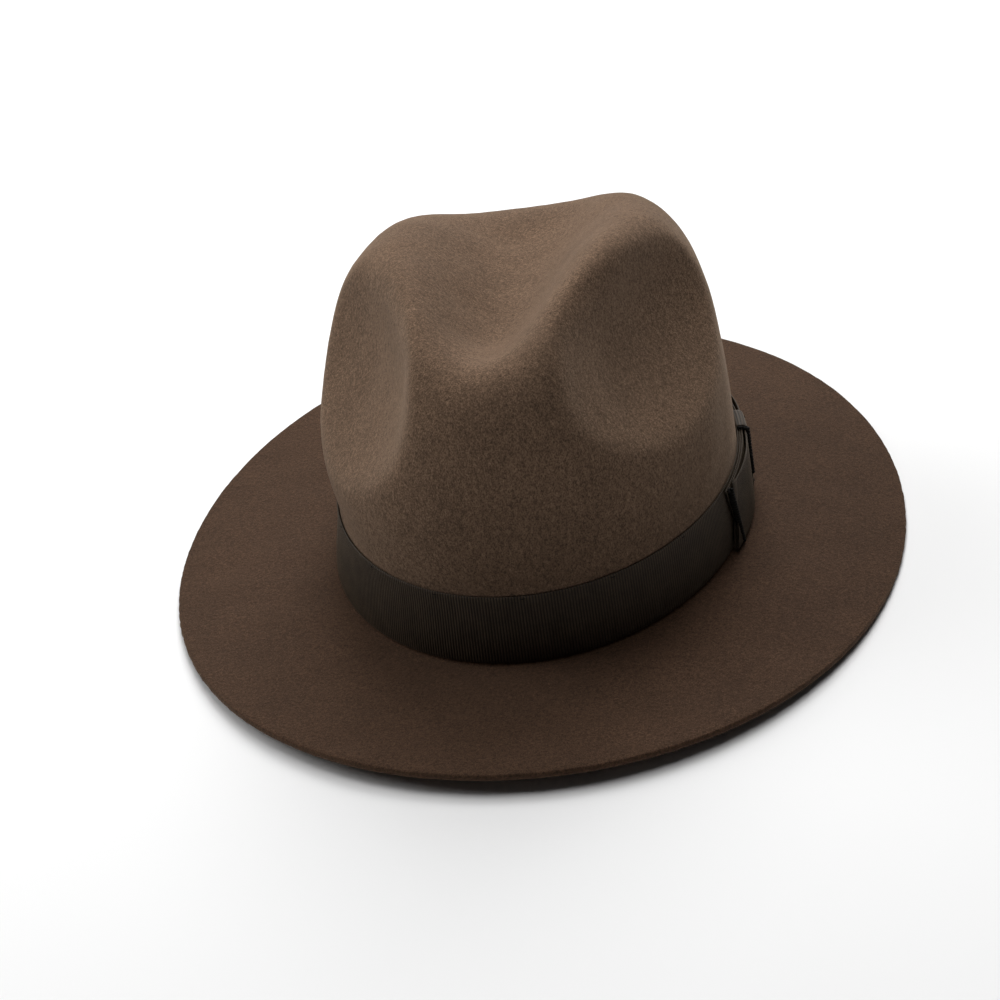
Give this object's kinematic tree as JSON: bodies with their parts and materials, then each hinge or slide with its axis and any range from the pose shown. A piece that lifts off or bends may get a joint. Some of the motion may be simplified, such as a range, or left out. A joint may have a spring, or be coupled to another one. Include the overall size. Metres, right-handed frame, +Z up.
{
  "type": "fedora hat",
  "caption": "Brown felt fedora with a centre-creased, front-pinched crown, a wide nearly flat brim, and a dark ribbed ribbon band with a flat side bow.",
  "frame": {"origin": "centre of the hat's outline, on the table it stands on, at the lowest point of the brim", "axes": "+Z up through the crown, -Y towards the front of the hat, +X towards the wearer's left, where the bow is"},
  "size_m": [0.3095, 0.3601, 0.1484],
  "materials": {
    "felt": "brushed wool felt, short nap",
    "ribbon": "ribbed grosgrain, dull",
    "thread": "fine dark thread",
    "leather": "smooth tanned leather",
    "reed": "smooth plastic reed",
    "tape": "woven tape",
    "pale_thread": "waxed thread",
    "leather_seam": "skived leather strip",
    "bow_ribbon": "narrow ribbon",
    "lining": "satin, soft sheen",
    "piping": "satin corded piping",
    "tag": "blank woven cloth"
  },
  "bodies": {
    "root": {"felt_body": "felt", "ribbon_band": "ribbon", "band_tacks": "thread", "bow_tail": "ribbon", "bow_loop_front": "ribbon", "bow_loop_back": "ribbon", "bow_keeper": "ribbon", "bow_tacks": "thread", "sweatband": "leather", "sweatband_reed": "reed", "reed_tape": "tape", "sweatband_stitches": "pale_thread", "sweatband_seam": "leather_seam", "sweatband_bow": "bow_ribbon", "lining_side": "lining", "lining_tip": "lining", "lining_piping": "piping", "size_tag": "tag"}
  },
  "joints": []
}
